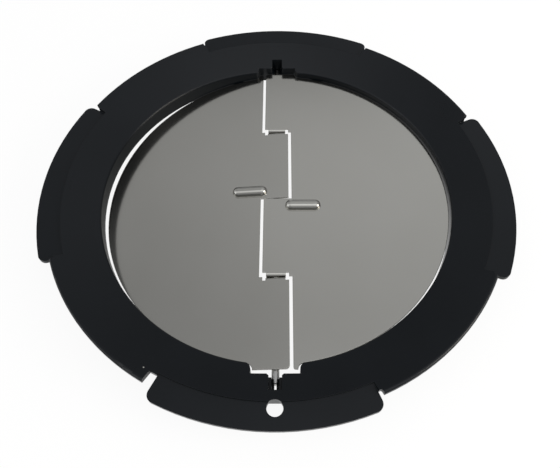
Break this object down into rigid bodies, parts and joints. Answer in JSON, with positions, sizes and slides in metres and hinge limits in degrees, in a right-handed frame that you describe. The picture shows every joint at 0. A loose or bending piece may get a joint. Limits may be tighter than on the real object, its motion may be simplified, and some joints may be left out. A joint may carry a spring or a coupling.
{
  "type": "backdraft damper",
  "caption": "Round backdraft damper: black moulded ring with rim lugs and interlocking sheet metal flaps that swing up on a hinge pin.",
  "frame": {"origin": "on the duct axis in the plane of the undersides of the lugs", "axes": "+Z along the duct axis in the direction the flaps open, +Y along the hinge pin away from the lug with the screw hole, +X towards the right flap"},
  "size_m": [0.1992, 0.1992, 0.0178],
  "materials": {
    "ring_plastic": "satin moulded",
    "flap_aluminium": "satin rolled sheet",
    "pin_steel": "drawn rod"
  },
  "bodies": {
    "ring": {"damper_ring": "ring_plastic", "hinge_pin": "pin_steel"},
    "left_flap": {"left_flap": "flap_aluminium"},
    "right_flap": {"right_flap": "flap_aluminium"}
  },
  "joints": [
    {"name": "left_flap_hinge", "type": "hinge", "parent": "ring", "child": "left_flap", "pos_m": [0, 0, -0.0088], "axis": [0, 1, 0], "range_deg": [0, 59.2]},
    {"name": "right_flap_hinge", "type": "hinge", "parent": "ring", "child": "right_flap", "pos_m": [0, 0, -0.0088], "axis": [0, -1, 0], "range_deg": [-5.2, 54]}
  ]
}
